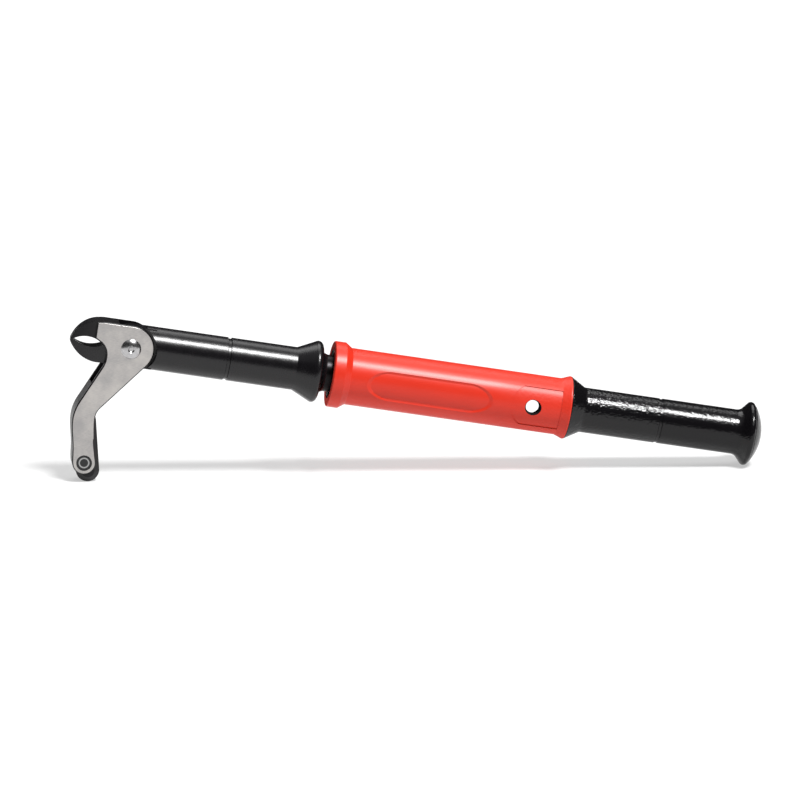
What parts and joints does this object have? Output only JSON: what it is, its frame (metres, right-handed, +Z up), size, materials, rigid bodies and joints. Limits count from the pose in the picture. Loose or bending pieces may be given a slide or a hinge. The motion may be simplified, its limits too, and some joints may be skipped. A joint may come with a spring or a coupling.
{
  "type": "nail puller",
  "caption": "Slide-hammer nail puller: hinged pincer jaws with a foot lever, a fixed grip with hand guard, and a sliding ram with a rear grip and domed knob",
  "frame": {"origin": "centre of the bounding box's underside, on the floor plane, with the tool standing on the toe of its foot and the rim of its knob", "axes": "+X from the jaws towards the knob, +Y away from the side with the struck rivet head, +Z up; the tool axis leans down 9.5 degrees towards +X"},
  "size_m": [0.4768, 0.0454, 0.1115],
  "materials": {
    "fixed_jaw": "satin black paint",
    "guard_grip": "satin black paint",
    "slide_rod": "blackened drawn steel",
    "head_pin": "bright drawn steel",
    "stop_collar": "bright drawn steel",
    "stop_pin": "bright drawn steel",
    "jaw_lever": "ground steel faces with black painted edges",
    "pivot_rivet": "bright headed steel",
    "guide_bush": "turned bearing bronze",
    "ram_barrel": "gloss orange-red paint",
    "retaining_ring": "bright drawn steel",
    "strike_plug": "bright drawn steel",
    "upper_grip": "gloss black paint over a hammered surface",
    "grip_lock_pin": "bright drawn steel",
    "end_knob": "gloss black paint over a hammered surface",
    "knob_lock_pin": "bright drawn steel"
  },
  "bodies": {
    "head": {"fixed_jaw": "fixed_jaw", "guard_grip": "guard_grip", "slide_rod": "slide_rod", "head_pin": "head_pin", "stop_collar": "stop_collar", "stop_pin": "stop_pin"},
    "lever": {"jaw_lever": "jaw_lever", "pivot_rivet": "pivot_rivet"},
    "bush": {"guide_bush": "guide_bush"},
    "ram": {"ram_barrel": "ram_barrel", "retaining_ring": "retaining_ring", "strike_plug": "strike_plug", "upper_grip": "upper_grip", "grip_lock_pin": "grip_lock_pin", "end_knob": "end_knob", "knob_lock_pin": "knob_lock_pin"}
  },
  "joints": [
    {"name": "jaw_hinge", "type": "hinge", "parent": "head", "child": "lever", "pos_m": [-0.19743, 0, 0.09217], "axis": [0, 1, 0], "range_deg": [0, 30]},
    {"name": "ram_slide", "type": "slide", "parent": "head", "child": "bush", "axis": [0.9862, 0, -0.1654], "range_m": [0, 0.0935]},
    {"name": "ram_spin", "type": "hinge", "parent": "bush", "child": "ram", "pos_m": [-0.05298, 0, 0.06896], "axis": [0.9862, 0, -0.1654], "continuous": true}
  ]
}
